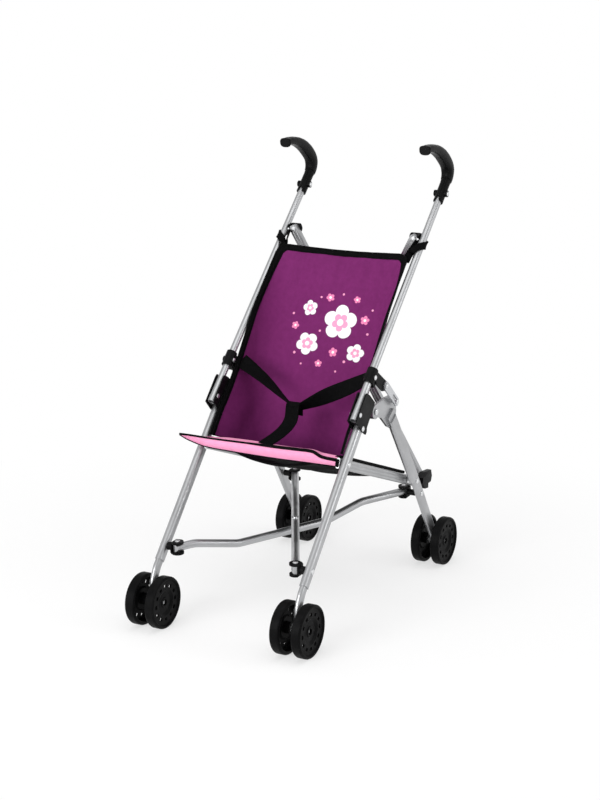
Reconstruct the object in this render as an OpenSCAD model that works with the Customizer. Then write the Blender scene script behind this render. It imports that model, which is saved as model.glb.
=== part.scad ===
// Folding doll stroller: two tube side frames, two cross braces, fabric sling
// seat, hooked grips and four twin wheels. Millimetres, ground at z = 0,
// front towards -Y, width along X, each side frame lies in a plane of constant x.

/* [Frame] */
// Half the distance between the two side frames
half_width = 99; // [90:0.5:110]
// Distance between front and rear axles
wheelbase = 375; // [350:1:400]
// Angle of the front legs above the ground
leg_lean = 49.1; // [45:0.1:54]
// Angle of the handle tubes above the ground
handle_lean = 45; // [42:0.5:48]
// Handle tube length from its low end to the grip
handle_len = 331; // [300:1:360]
// Handle tube diameter
tube_d = 9; // [8:0.5:10]
// Front leg section, long side
leg_wide = 14; // [12:0.5:16]
// Front leg section, short side
leg_thick = 9.5; // [8:0.5:10]
// Rear leg section, long side
rear_wide = 18; // [14:0.5:20]
// Rear leg section, short side
rear_thick = 7.5; // [6:0.5:8]

/* [Wheels] */
// Wheel radius
wheel_r = 32; // [30:0.5:34]
// Wheel width
wheel_w = 12.6; // [11:0.2:14]
// Distance between the two wheels of a twin
twin_pitch = 28; // [26:0.5:30]
// Number of openings round each wheel
wheel_holes = 12; // [8:1:16]
// Axle diameter
axle_d = 4; // [3:0.5:5]

/* [Grips] */
// Grip width across
grip_w = 15.5; // [13:0.5:17]
// Grip depth at its bend
grip_deep = 16.5; // [14:0.5:18]
// Grip depth at its tip
grip_tip = 8.6; // [7:0.2:10]
// Radius of the tight bend at the back of the grip
grip_bend = 15; // [13:0.5:18]
// Radius of the flatter bend over the top
grip_top = 85; // [75:1:95]

/* [Cross braces] */
// Lower brace tube diameter
arm_d = 10; // [8:0.5:10]
// How far the lower brace dips below its end pins
arm_dip = 14.4; // [12:0.2:16]
// Half distance between the lower brace pins
pin_x = 81; // [78:0.5:83]
// Back brace section, long side
back_wide = 11; // [9:0.5:12]
// Back brace section, short side
back_thick = 6.4; // [5:0.2:7]
// Half distance between the back brace pins
back_x = 86; // [82:0.5:87]

/* [Seat] */
// Seat rail section, long side
rail_wide = 13; // [11:0.5:14]
// Seat rail section, short side
rail_thick = 4.8; // [4:0.2:5]
// Length of the slot the rear leg's pin runs in
rail_slot = 24.5; // [24:0.5:26]
// Cloth thickness, binding included
cloth = 2.4; // [1:0.2:4]
// Half width of the sling between the rails
sling_half = 90; // [84:0.2:90.2]
// How far the seat cloth sags between the rails
seat_sag = 20; // [10:1:24]
// Width of the harness webbing
strap_w = 20; // [15:1:25]

/* [Hidden] */
$fn = 48;
e = 0.01;
mid_y = 105;
grip_bolt = 14;
xf = half_width;
xr = half_width + 3.5;
steel = [0.72, 0.73, 0.75];
black = [0.06, 0.06, 0.07];

// points of a side frame as [y, z]
function dir(a) = [cos(a), sin(a)];
axle_f = [-86, wheel_r];
axle_r = [-86 + wheelbase, wheel_r];
leg_bend = [-76, 71.5];
leg_top = leg_bend + 232 * dir(leg_lean);
p_front = leg_bend + 29 * dir(leg_lean);
s_front = leg_bend + 169 * dir(leg_lean);
tube_low = [53.3, 248.4];
grip_low = tube_low + handle_len * dir(handle_lean);
r_pivot = [110, 247];
link_ear = [126, 277];
link_fan = [155.7, 250.5];
leg_neck = [152, 229.5];
s_rear = [224, 130];
p_rear = [238.5, 109];
back_top = tube_low + 272 * dir(handle_lean);
back_low = [275, 121];

// lower brace plane
lower_v = p_rear - p_front;
lower_d = norm(lower_v);
lower_a = atan2(lower_v[1], lower_v[0]);
lower_len = norm([2 * pin_x, lower_d]);
lower_b = atan2(2 * pin_x, lower_d);
// back brace plane
back_v = back_low - back_top;
back_d = norm(back_v);
back_a = atan2(back_v[1], back_v[0]);
back_len = norm([2 * back_x, back_d]);
back_b = atan2(2 * back_x, back_d);
// seat rail line
rail_v = s_rear - s_front;
rail_l = norm(rail_v);
rail_a = atan2(rail_v[1], rail_v[0]);

// ---- helpers ----
// every piece is drawn with y from the front bend and moved so the base is centred on the origin
module place() translate([0, -mid_y, 0]) children();
module side(s) { if (s > 0) children(); else mirror([1, 0, 0]) children(); }
// local x, y, z become world y, z, x
module in_yz(x = 0) multmatrix([[0, 0, 1, x], [1, 0, 0, 0], [0, 1, 0, 0], [0, 0, 0, 1]])
  children();
// drawing plane with its origin at p and its first axis turned by a
module at(p, a = 0, x = 0) in_yz(x) translate([p[0], p[1], 0]) rotate([0, 0, a]) children();
module oval(w, t) { square([w - t, t], center = true);
  translate([(w - t) / 2, 0]) circle(d = t); translate([(t - w) / 2, 0]) circle(d = t); }
// straight bar of the child section from p to q in a drawing plane
module bar(p, q) { v = q - p;
  translate([p[0], p[1], 0]) rotate([0, 0, atan2(v[1], v[0])])
    rotate([90, 0, 90]) linear_extrude(norm(v)) children(); }
// bar of the child section through points pts, bends of radius r
module bent(pts, r, $lap = 0) {
  n = len(pts);
  function ang(i) = atan2(pts[i + 1][1] - pts[i][1], pts[i + 1][0] - pts[i][0]);
  function turn(i) = i <= 0 || i >= n - 1 ? 0 : ang(i) - ang(i - 1);
  function cut(i) = r * tan(abs(turn(i)) / 2);
  for (i = [0:n - 2])
    bar(pts[i] + (cut(i) - (i > 0 ? $lap : 0)) * dir(ang(i)),
      pts[i + 1] - (cut(i + 1) - (i < n - 2 ? $lap : 0)) * dir(ang(i))) { $g = 0; children(); }
  for (i = [1:n - 2]) if (abs(turn(i)) > 0.01) {
    s = turn(i) > 0 ? 1 : -1; a = ang(i - 1);
    c = pts[i] - cut(i) * dir(a) + s * r * dir(a + 90);
    translate([c[0], c[1], 0]) rotate([0, 0, s > 0 ? a - 90 : a + 90 + turn(i)])
      rotate_extrude(angle = abs(turn(i)), $fn = 96) translate([r, 0]) { $g = 0.06; children(); }
  } }
// solid cylinder along X between x0 and x1 about p
module xcyl(x0, x1, p, d) translate([x0, p[0], p[1]]) rotate([0, 90, 0])
  cylinder(h = x1 - x0, d = d);
// plate of the child outline (drawn in y, z) between x0 and x1
module plate(x0, x1) in_yz(x0) linear_extrude(x1 - x0) children();
module disc(p, d) translate(p) circle(d = d);
// rivet head, domed, sitting on the plane x = x0 and pointing along s
module head(x0, s, p, d) translate([x0, p[0], p[1]]) rotate([0, 90 * s, 0])
  rotate_extrude() polygon([[0, 0], [d / 2, 0], [d / 2, 0.35], [d * 0.42, 0.9],
    [d * 0.28, 1.3], [0, 1.45]]);

// ---- side frame, drawn for the right side ----
module front_leg(s) color(steel) side(s) difference() {
  union() {
    at([0, 0], 0, xf) {
      bent([axle_f + [0.6, 6], axle_f + [2, 24], leg_bend, leg_bend + 26 * dir(leg_lean)], 22, 0.6)
        oval(12 + $g, 7 + $g);
      bar(leg_bend + 9 * dir(leg_lean), leg_top) oval(leg_wide, leg_thick);
    }
    xcyl(xf - 3.5, xf + 3.5, axle_f, 13);
    plate(xf - 3.5, xf + 3.5) translate([axle_f[0] - 6.2, axle_f[1]]) square([12.8, 8]);
  }
  xcyl(xf - 9, xf + 9, axle_f, axle_d + 0.04);
  for (p = [p_front, s_front]) xcyl(xf - 9, xf + 9, p, 4.04);
  xcyl(xf - 9, xf + 9, leg_top - 14 * dir(leg_lean), 4.04);
}
module handle_tube(s) color(steel) side(s) at(tube_low, handle_lean, xf) difference() {
  rotate([0, 90, 0]) cylinder(h = handle_len + 23, d = tube_d);
  translate([-1, 0, 0]) rotate([0, 90, 0]) cylinder(h = 16, d = tube_d - 2);
  translate([9, 0, 0]) cylinder(h = 20, d = 3.04, center = true);
  translate([handle_len + grip_bolt, 0, 0]) cylinder(h = 20, d = 3.04, center = true);
  translate([63, 0, 0]) cylinder(h = 20, d = 3.04, center = true);
}
// the grip's centre line: up the tube, round the tight bend, over the flat top, to the tip
grip_up = 35; grip_arc = 45; grip_end = 9;
function grip_at(t) = t < 1 ? [grip_up + grip_bend * sin(90 * t), grip_bend * (1 - cos(90 * t))]
  : t < 2 ? [grip_up + grip_bend, grip_bend] + grip_top * (dir(grip_arc * (t - 1)) - [1, 0])
  : grip_at(1.9999) + grip_end * (t - 2) * dir(90 + grip_arc);
function grip_way(t) = t < 1 ? 90 * t : t < 2 ? 90 + grip_arc * (t - 1) : 90 + grip_arc;
// the rim at the tip stands out to the inner side
function grip_rim(t) = t > 2.62 ? 3.4 : 0;
function grip_thick(t) = t < 0.6 ? 13.4 + (grip_deep - 13.4) * t / 0.6
  : t < 1.25 ? grip_deep : grip_deep + (grip_tip - grip_deep) * min((t - 1.25) / 0.8, 1);
function grip_ring(t, n = 24) = let (c = grip_at(t), a = grip_way(t), h = grip_thick(t),
    w = t < 0.6 ? 13.8 + (grip_w - 13.8) * t / 0.6 : grip_w - (t > 2.8 ? 1.6 : 0))
  [for (i = [0:n - 1]) let (q = 360 * i / n, u = sign(cos(q)) * pow(abs(cos(q)), 0.72),
      v = sign(sin(q)) * pow(abs(sin(q)), 0.72),
      d = u * (h / 2 - (t > 2.8 ? 0.6 : 0)) - (u < 0 ? -u * grip_rim(t) : 0))
    [c[0] + d * cos(a - 90), c[1] + d * sin(a - 90), v * w / 2]];
grip_steps = [-0.001, 0.15, 0.3, 0.45, 0.6, 0.8, 1, 1.1, 1.2, 1.35, 1.5, 1.65, 1.8, 1.95, 2.1,
  2.3, 2.6, 2.64, 2.78, 2.82, 3];
module grip_hook() { n = 24; m = len(grip_steps);
  polyhedron([for (t = grip_steps) each grip_ring(t, n)], concat(
    [[for (i = [n - 1:-1:0]) i]], [[for (i = [0:n - 1]) (m - 1) * n + i]],
    [for (k = [0:m - 2], i = [0:n - 1], h = [0, 1]) let (j = (i + 1) % n, a = k * n, b = a + n)
      h == 0 ? [a + i, a + j, b + i] : [a + j, b + j, b + i]])); }
module grip(s) color(black) side(s) at(grip_low, handle_lean, xf) {
  difference() {
    union() {
      rotate([0, 90, 0]) rotate_extrude() polygon([[0, 0], [6.1, 0], [6.4, 0.4], [6.4, 30],
        [6.6, 31.5], [6.6, grip_up + 1], [0, grip_up + 1]]);
      for (m = [-1, 1]) translate([grip_bolt, 0, m * 5.5]) rotate([0, m > 0 ? 0 : 180, 0])
        cylinder(h = 3.5, d = 8.6);
      grip_hook();
    }
    // socket, cross hole and the notch in the lower front edge
    translate([-1, 0, 0]) rotate([0, 90, 0]) cylinder(h = 25, d = tube_d + 0.1);
    translate([grip_bolt, 0, 0]) cylinder(h = 30, d = 3.04, center = true);
    translate([-e, 0, 0]) rotate([-90, 0, 0]) linear_extrude(12)
      polygon([[-1, -4.2], [6.5, 0], [-1, 4.2]]);
  }
}
// bracket outlines use [a, -b]: a along the handle tube, b behind it
module side_bracket(s) color(black) side(s) difference() {
  union() {
    at(tube_low, handle_lean, xf) {
      for (z = [-6.3, 4.9]) translate([0, 0, z]) linear_extrude(1.4)
        polygon([[-2.5, 3], [34, 4.6], [38, 3.6], [40.5, -5], [42, -23], [22, -25.5],
          [8, -26.6], [4, -30], [0, -30], [-1.5, -25], [-3, -14]]);
      translate([0, 0, -5.2]) linear_extrude(10.4)
        polygon([[0, -4.75], [38, -4.75], [41, -10], [42, -23], [24, -25], [21, -9.2],
          [0, -9.2]]);
    }
    plate(xf - 6.5, xf - 1) {
      union() { disc(r_pivot, 18); polygon([[92, 253], [98, 268], [112, 256], [106, 240]]); }
    }
  }
  at(tube_low, handle_lean, xf) rotate([0, 90, 0]) translate([0, 0, -5])
    cylinder(h = 60, d = tube_d + 0.1);
  at([0, 0], 0, xf) bar(leg_top - 60 * dir(leg_lean), leg_top + 0.1 * dir(leg_lean))
    oval(leg_wide + 0.1, leg_thick + 0.1);
  at(tube_low, handle_lean, xf) translate([9, 0, 0]) cylinder(h = 20, d = 3.04, center = true);
  xcyl(xf - 12, xf + 12, leg_top - 14 * dir(leg_lean), 4.04);
  xcyl(xf - 12, xf + 12, r_pivot, 5.04);
}
module handle_collar(s) color(black) side(s) difference() {
  union() {
    at(tube_low, handle_lean, xf) {
      translate([54, 0, 0]) rotate([0, 90, 0]) cylinder(h = 20, d = 13.6);
      translate([54.8, -10.4, -5]) cube([18.4, 10.4, 10]);
      translate([63, 0, -7]) cylinder(h = 14, d = 9);
    }
    plate(xf + 3.4, xf + 6.6) union() { disc(link_ear, 13);
      polygon([[95.5, 293.5], [103, 300], [131, 281], [121, 271], [103, 284]]); }
  }
  at(tube_low, handle_lean, xf) {
    rotate([0, 90, 0]) cylinder(h = 120, d = tube_d + 0.1);
    translate([63, 0, 0]) cylinder(h = 30, d = 3.04, center = true);
  }
  xcyl(xf, xf + 12, link_ear, 4.04);
}
module frame_rivets(s) color(steel) side(s) {
  // grip bolt, collar rivet and bracket rivet cross the handle tube
  for (q = [[handle_len + grip_bolt, 9], [63, 7], [9, 6.3]]) {
    p = tube_low + q[0] * dir(handle_lean);
    xcyl(xf - q[1], xf + q[1], p, 3); head(xf + q[1], 1, p, 6); head(xf - q[1], -1, p, 6); }
  pt = leg_top - 14 * dir(leg_lean);
  xcyl(xf - 6.3, xf + 6.3, pt, 4); head(xf + 6.3, 1, pt, 6.6); head(xf - 6.3, -1, pt, 6.6);
  // seat rail pin
  xcyl(xf - 10.2, xf + leg_thick / 2, s_front, 4); head(xf + leg_thick / 2, 1, s_front, 6.6);
  head(xf - 10.2, -1, s_front, 7);
  // front knuckle pin
  xcyl(xf - 12.2, xf + leg_thick / 2, p_front, 4); head(xf + leg_thick / 2, 1, p_front, 6.6);
  // rear leg pivot
  xcyl(xf - 6.5, xf + 3.3, r_pivot, 5); head(xf - 6.5, -1, r_pivot, 8);
  head(xf + 3.3, 1, r_pivot, 8);
  // link pin on the collar's ear
  xcyl(xf + 3.4, xf + 9.2, link_ear, 4); head(xf + 3.4, -1, link_ear, 7);
  head(xf + 9.2, 1, link_ear, 7);
}
link_v = link_fan - link_ear;
module fold_link(s) color(steel) side(s) in_yz(xf + 7) difference() {
  linear_extrude(1.9) translate(link_ear) rotate(atan2(link_v[1], link_v[0])) {
    circle(d = 11); translate([0, -5.5]) square([norm(link_v), 11]);
    translate([norm(link_v), 0]) circle(d = 11); }
  translate([link_ear[0], link_ear[1], -1]) cylinder(h = 5, d = 4.1);
  translate([link_ear[0], link_ear[1], -1]) rotate([0, 0, atan2(link_v[1], link_v[0])])
    linear_extrude(5) { translate([norm(link_v) - 13.5, -2.6]) square([13.5, 5.2]);
      for (x = [0, 13.5]) translate([norm(link_v) - x, 0]) circle(d = 5.2); }
}

// ---- rear leg, drawn for the right side ----
module rear_leg(s) color(steel) side(s) difference() {
  union() {
    plate(xf - 0.6, xf + 2.4) { disc(r_pivot, 18);
      polygon([[104, 240], [107, 255.6], [136, 259.5], [155, 259.5], [160, 257.5],
        [165, 250], [167.5, 236], [158, 214], [143, 221], [125, 236], [116, 239]]);
      disc([156.5, 250.5], 18); disc([160, 236], 15); }
    at([0, 0], 0, xr) {
      bar(leg_neck, s_rear + [-3, 4.1]) oval(rear_wide, rear_thick);
      bent([leg_neck + [40, -54.7], [228, 126], axle_r + [-1.2, 4]], 90, 0.6)
        oval(rear_wide - 3 + $g, rear_thick - 0.2 + $g);
    }
    at(leg_neck, -53.8, xf - 0.6) linear_extrude(6) translate([-9, -rear_wide / 2])
      square([16, rear_wide]);
    xcyl(xr - 3.5, xr + 3.5, axle_r, 14);
  }
  xcyl(xf - 3, xf + 12, r_pivot, 5.1);
  xcyl(xf - 3, xf + 12, link_fan, 4.04);
  for (p = [s_rear, p_rear]) xcyl(xf - 12, xf + 12, p, 4.04);
  xcyl(xf - 12, xf + 12, axle_r, axle_d + 0.04);
}
module rear_rivets(s) color(steel) side(s) {
  // seat rail pin with its spacer
  xcyl(xf - 10.2, xr + rear_thick / 2, s_rear, 4); head(xr + rear_thick / 2, 1, s_rear, 7);
  head(xf - 10.2, -1, s_rear, 7); xcyl(xf - 4.9, xr - rear_thick / 2, s_rear, 10);
  // knuckle rivet, cut flush on the inner face
  xcyl(xr - rear_thick / 2, xr + rear_thick / 2, p_rear, 4);
  head(xr + rear_thick / 2, 1, p_rear, 7);
  // fan pin that runs in the link's slot
  xcyl(xf - 0.6, xf + 9.4, link_fan, 4); head(xf + 9.4, 1, link_fan, 7);
}
module back_clip(s) color(black) side(s) difference() {
  plate(xr - 9.8, xr + 2.5) polygon([[243, 113], [246, 128], [262, 131], [284, 129],
    [287, 120], [284, 113], [262, 111]]);
  plate(xr - 3.75, xr + 4) polygon([[262, 100], [262, 140], [290, 140], [290, 100]]);
  plate(xr - 12, xr - 5.3) polygon([[240, 100], [240, 140], [250, 140], [250, 100]]);
  plate(xr - 12, xr - 7.7) polygon([[240, 100], [240, 140], [258, 140], [258, 100]]);
  at([0, 0], 0, xr) bar(s_rear - [-20, 27], s_rear + [-30, 41]) oval(rear_wide + 5.4, 20);
}
module seat_rail(s) color(steel) side(s) at(s_front, rail_a, xf - 7.7) difference() {
  bar([-6, 0], [rail_l + rail_slot + 4.4, 0]) difference() {
    oval(rail_wide, rail_thick);
    for (y = [-2, 2], z = [-1, 1]) translate([y, z * (rail_thick / 2 + 0.35)])
      circle(d = 1.6);
  }
  cylinder(h = 20, d = 4.1, center = true);
  // rounded rear end
  translate([rail_l + rail_slot - 2, 0, -10]) linear_extrude(20) difference() {
    translate([0, -8]) square([10, 16]); circle(d = rail_wide - 0.2); }
  translate([0, 0, -10]) linear_extrude(20) {
    translate([rail_l - 2, -2.4]) square([rail_slot, 4.8]);
    for (x = [-2, rail_slot - 2]) translate([rail_l + x, 0]) circle(d = 4.8); }
}

// ---- lower brace ----
// frame with x across, y along the brace plane, z its normal; origin between the front pins
module lower_plane() translate([0, p_front[0], p_front[1]]) rotate([lower_a, 0, 0]) children();
module knuckle(deep, boss) difference() {
  union() {
    for (z = [-7.8, 5.3]) translate([0, 0, z]) { cylinder(h = 2.5, d = 15);
      translate([0, -5.8, 0]) cube([7.2, 11.6, 2.5]); }
    translate([5.6, -5.8, -7.8]) cube([1.6, 11.6, 15.6]);
    rotate([0, 90, 0]) cylinder(h = deep, d = boss);
  }
  cylinder(h = 40, d = 3.04, center = true);
  translate([-20, -12, -5.3]) cube([25.6, 24, 10.6]);
  // outer corners taken off, where the seat rail's end swings past
  for (m = [0, 1]) mirror([0, 0, m]) rotate([90, 0, 0]) linear_extrude(24, center = true)
    polygon([[5.2, 8], [8, 8], [8, 5.2]]);
}
module knuckle_pin() { cylinder(h = 15.6, d = 3, center = true);
  for (m = [0, 180]) rotate([m, 0, 0]) translate([0, 0, 7.8]) rotate_extrude()
    polygon([[0, 0], [3.2, 0], [3.2, 0.4], [2.6, 1.1], [1.6, 1.5], [0, 1.6]]); }
module front_knuckle(s) color(black) side(s) difference() {
  lower_plane() translate([pin_x, 0, 0]) knuckle(xf - leg_thick / 2 - 0.3 - pin_x, 10);
  xcyl(xf - 13, xf, p_front, 4.1);
}
module front_knuckle_pin(s) color(steel) side(s) lower_plane() translate([pin_x, 0, 0])
  knuckle_pin();
module rear_knuckle(s) color(black) side(s) lower_plane() translate([pin_x, lower_d, 0])
  knuckle(xr - rear_thick / 2 - 1.8 - pin_x, 8);
module rear_knuckle_pin(s) color(steel) side(s) lower_plane() translate([pin_x, lower_d, 0])
  knuckle_pin();
// takes the corners off a bar's end at y, leaving it round about the pin
module round_end(y, r, s) translate([0, y, 0]) difference() {
  translate([-12, s > 0 ? 0 : -12, -12]) cube([24, 12, 24]);
  cylinder(h = 26, r = r, center = true); }
module lower_arm(s, dip) color(steel) lower_plane() side(s) translate([-pin_x, 0, 0])
  rotate([0, 0, -lower_b]) difference() {
    in_yz() bent([[-5, 0], [0.07 * lower_len, 0], [0.25 * lower_len, -dip],
      [0.63 * lower_len, -dip], [0.8 * lower_len, 0], [lower_len + 5, 0]], 40, 0.6)
      circle(d = arm_d + $g);
    for (y = [0, lower_len]) translate([0, y, 0]) cylinder(h = 30, d = 3.1, center = true);
    round_end(0, arm_d / 2 + 0.2, -1); round_end(lower_len, arm_d / 2 + 0.2, 1);
  }
module lower_arm_a() place() lower_arm(1, arm_dip);
module lower_arm_b() place() lower_arm(-1, arm_dip - arm_d - 0.4);
module lower_cross_rivet() place() color(steel) lower_plane()
  translate([0, lower_d / 2, -(arm_dip - arm_d - 0.4) + arm_d / 2 - 0.4]) difference() {
    rotate_extrude() polygon([[0, 0], [4.6, 0], [4.6, 0.9], [3, 0.9], [3, 1.8], [2.2, 2.6],
      [0, 2.9]]);
    translate([0, 0, 0.4 - arm_d / 2]) rotate([0, 0, lower_b]) rotate([90, 0, 0])
      cylinder(h = 40, d = arm_d, center = true);
  }

// ---- back brace ----
module back_plane() translate([0, back_top[0], back_top[1]]) rotate([back_a, 0, 0]) children();
module back_knuckle(s) color(black) side(s) back_plane() translate([back_x, 0, 0]) {
  // one plate behind the arm, a web beside it and a boss on the tube
  translate([0, 0, 3.6]) linear_extrude(2.8) difference() {
    union() { circle(d = 17); translate([0, -5.5]) square([8.1, 11]); }
    translate([-10, -20]) square([20, 14]); circle(d = 3.04); }
  translate([6, -5.3, -4]) cube([2.1, 10.6, 9]);
  rotate([0, 90, 0]) translate([0, 0, 6.2]) cylinder(h = 2, d = 7.6);
}
module dome(d, h) rotate_extrude() polygon([[0, 0], [d / 2, 0], [d / 2, 0.4], [d * 0.4, 0.8 * h],
  [0, h]]);
module back_pin(s) color(steel) side(s) back_plane() translate([back_x, 0, 0]) {
  translate([0, 0, -3.4]) cylinder(h = 9.8, d = 3);
  translate([0, 0, 6.4]) dome(6.4, 1.4);
  translate([0, 0, -3.4]) rotate([180, 0, 0]) dome(7, 1.6);
  translate([6.9, 0, -4]) rotate([180, 0, 0]) dome(3, 1);
}
module back_arm(s, off) color(steel) back_plane() side(s) translate([-back_x, 0, 0])
  rotate([0, 0, -back_b]) difference() {
    in_yz() bent([[-5, 0], [0.26 * back_len, 0], [0.31 * back_len, off],
      [0.69 * back_len, off], [0.74 * back_len, 0], [back_len + 5, 0]], 60, 0.6)
      difference() { square([back_thick + $g, back_wide + $g], center = true);
        for (y = [-2.2, 2.2], z = [-1, 1]) translate([z * ((back_thick + $g) / 2 + 0.3), y])
          circle(d = 1.6); }
    cylinder(h = 30, d = 3.1, center = true);
    round_end(0, back_wide / 2 + 0.1, -1); round_end(back_len, back_wide / 2 + 0.1, 1);
  }
module back_arm_c() place() back_arm(1, -(back_thick / 2 + 0.2));
module back_arm_d() place() back_arm(-1, back_thick / 2 + 0.2);
module back_cross_rivet() place() color(steel) back_plane() translate([0, back_d / 2, 0])
  translate([0, 0, back_thick + 0.2]) rotate_extrude()
    polygon([[0, 0], [3.6, 0], [3.6, 0.4], [2.8, 1.2], [0, 1.6]]);

// ---- wheels, drawn with the outer face towards +X ----
module wheel(x, p, s) color(black) translate([x, p[0], p[1]]) side(s) rotate([0, 90, 0])
  difference() {
    w = wheel_w / 2;
    rotate_extrude($fn = 96) polygon([[axle_d / 2 + 0.05, -w], [6.4, -w], [6.8, -w + 0.4],
      [7.4, w - 6.2], [13, w - 6.4], [15, w - 4.6], [26.6, w - 4.6], [27.2, w - 5.4],
      [27.6, -w + 0.4], [28.2, -w], [wheel_r - 2, -w], [wheel_r - 0.6, -w + 0.7],
      [wheel_r, -w + 2], [wheel_r, w - 2], [wheel_r - 0.6, w - 0.7], [wheel_r - 2, w],
      [wheel_r - 3, w], [wheel_r - 3.4, w - 0.4], [27.6, w - 2], [16.6, w - 2.2],
      [16, w - 2.6], [12.6, w - 4.2], [7, w - 4], [6.2, w - 3], [4, w - 3],
      [4, w - 6.6], [axle_d / 2 + 0.05, w - 6.6]]);
    for (i = [0:wheel_holes - 1]) rotate([0, 0, i * 360 / wheel_holes])
      translate([20.8, 0, 0]) linear_extrude(20) {
        square([4, 3.4], center = true); square([2.4, 5], center = true);
        for (y = [-1.7, 1.7], z = [-1.2, 1.2]) translate([z, y]) circle(d = 1.6); }
  }
module axle(x, p, s) color(steel) side(s) translate([x, p[0], p[1]]) rotate([0, 90, 0]) {
  h = twin_pitch / 2 + wheel_w / 2 - 6.6;
  cylinder(h = 2 * h, d = axle_d, center = true);
  for (m = [0, 180]) rotate([m, 0, 0]) {
    translate([0, 0, 3.7]) cylinder(h = twin_pitch / 2 - wheel_w / 2 - 4, d = 8);
    translate([0, 0, h + 0.2]) rotate_extrude() polygon([[0, -0.4], [1.9, -0.4], [1.9, 0],
      [3.3, 0], [3.3, 0.6], [2, 1.4], [0, 1.5]]);
  } }

// ---- soft pieces ----
sling_line = [[221, 424], [190, 358], [163, 296], [142, 232], [129, 176]];
edge_line = [[52, 204], [37, 212], [79, 260], [101, 286], [125, 318], [148, 350], [172, 377],
  [208, 416]];
module backrest_sling() place() color([0.42, 0.14, 0.38]) {
  plate(-sling_half, sling_half) difference() {
    polygon(concat(sling_line, [for (i = [4:-1:0]) sling_line[i] - [cloth, -0.4]]));
  }
  for (s = [-1, 1]) side(s) plate(sling_half - 2, sling_half)
    polygon(concat(sling_line, edge_line));
}
function sag(x) = seat_sag * max(0, 1 - pow(x / 86, 2));
module seat_panel() place() color([0.09, 0.09, 0.1]) at(s_front, rail_a) bar([4, 0], [191, 0])
  polygon(concat([for (x = [-94:4:94]) [9.6 - sag(x), x]],
    [for (x = [94:-4:-94]) [7.8 - sag(x), x]]));
lip_line = [[-114, 2], [-100, 20], [-84, 26], [-60, 29], [-20, 33], [20, 34.5], [84, 34]];
module seat_lip() place() color([0.96, 0.55, 0.75]) {
  translate([0, 0, 189]) linear_extrude(17)
    polygon(concat([for (i = [2:6]) lip_line[i]], [for (i = [6:-1:2]) lip_line[i] - [0, cloth]]));
  translate([0, 0, 200]) linear_extrude(18)
    polygon(concat([for (i = [0:3]) lip_line[i]], [for (i = [3:-1:0]) lip_line[i] - [0, cloth]]));
}
// webbing loop round each handle tube
module strap_loop(s) color(black) side(s) at(tube_low, handle_lean, xf)
  translate([238, 0, 0]) rotate([0, 90, 0]) difference() {
    union() { cylinder(h = strap_w - 2, d = tube_d + 4.4);
      translate([0, -1, 0]) cube([12.8, 2, strap_w - 2]); }
    translate([0, 0, -1]) cylinder(h = strap_w, d = tube_d + 0.8);
  }
module web(p, q, w, t) { v = q - p; l = norm(v);
  translate(p) rotate([0, acos(v[2] / l), atan2(v[1], v[0])]) translate([-t / 2, -w / 2, 0])
    cube([t, w, l]); }
module harness(s) color(black) side(s) web([78.5, 126.2, 289.6], [12.6, 88, 236.5], strap_w * 0.85, 1.6);
module harness_l() place() harness(-1);
module harness_r() place() harness(1);
module crotch_strap() place() color(black) { web([0, 86, 246], [0, 84, 226], 24, 2.2);
  web([0, 84, 226], [0, 64, 202], strap_w, 1.6); }

module front_leg_l() place() front_leg(-1);
module front_leg_r() place() front_leg(1);
module handle_tube_l() place() handle_tube(-1);
module handle_tube_r() place() handle_tube(1);
module grip_l() place() grip(-1);
module grip_r() place() grip(1);
module side_bracket_l() place() side_bracket(-1);
module side_bracket_r() place() side_bracket(1);
module handle_collar_l() place() handle_collar(-1);
module handle_collar_r() place() handle_collar(1);
module frame_rivets_l() place() frame_rivets(-1);
module frame_rivets_r() place() frame_rivets(1);
module fold_link_l() place() fold_link(-1);
module fold_link_r() place() fold_link(1);
module rear_leg_l() place() rear_leg(-1);
module rear_leg_r() place() rear_leg(1);
module rear_rivets_l() place() rear_rivets(-1);
module rear_rivets_r() place() rear_rivets(1);
module back_clip_l() place() back_clip(-1);
module back_clip_r() place() back_clip(1);
module seat_rail_l() place() seat_rail(-1);
module seat_rail_r() place() seat_rail(1);
module front_knuckle_l() place() front_knuckle(-1);
module front_knuckle_r() place() front_knuckle(1);
module front_knuckle_pin_l() place() front_knuckle_pin(-1);
module front_knuckle_pin_r() place() front_knuckle_pin(1);
module rear_knuckle_l() place() rear_knuckle(-1);
module rear_knuckle_r() place() rear_knuckle(1);
module rear_knuckle_pin_l() place() rear_knuckle_pin(-1);
module rear_knuckle_pin_r() place() rear_knuckle_pin(1);
module back_knuckle_l() place() back_knuckle(-1);
module back_knuckle_r() place() back_knuckle(1);
module back_pin_l() place() back_pin(-1);
module back_pin_r() place() back_pin(1);
module front_axle_l() place() axle(xf, axle_f, -1);
module front_axle_r() place() axle(xf, axle_f, 1);
module rear_axle_l() place() axle(xr, axle_r, -1);
module rear_axle_r() place() axle(xr, axle_r, 1);
module wheel_fl_out() place() wheel(-xf - twin_pitch / 2, axle_f, -1);
module wheel_fl_in() place() wheel(-xf + twin_pitch / 2, axle_f, 1);
module wheel_fr_out() place() wheel(xf + twin_pitch / 2, axle_f, 1);
module wheel_fr_in() place() wheel(xf - twin_pitch / 2, axle_f, -1);
module wheel_rl_out() place() wheel(-xr - twin_pitch / 2, axle_r, -1);
module wheel_rl_in() place() wheel(-xr + twin_pitch / 2, axle_r, 1);
module wheel_rr_out() place() wheel(xr + twin_pitch / 2, axle_r, 1);
module wheel_rr_in() place() wheel(xr - twin_pitch / 2, axle_r, -1);
module strap_loop_l() place() strap_loop(-1);
module strap_loop_r() place() strap_loop(1);

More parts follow.
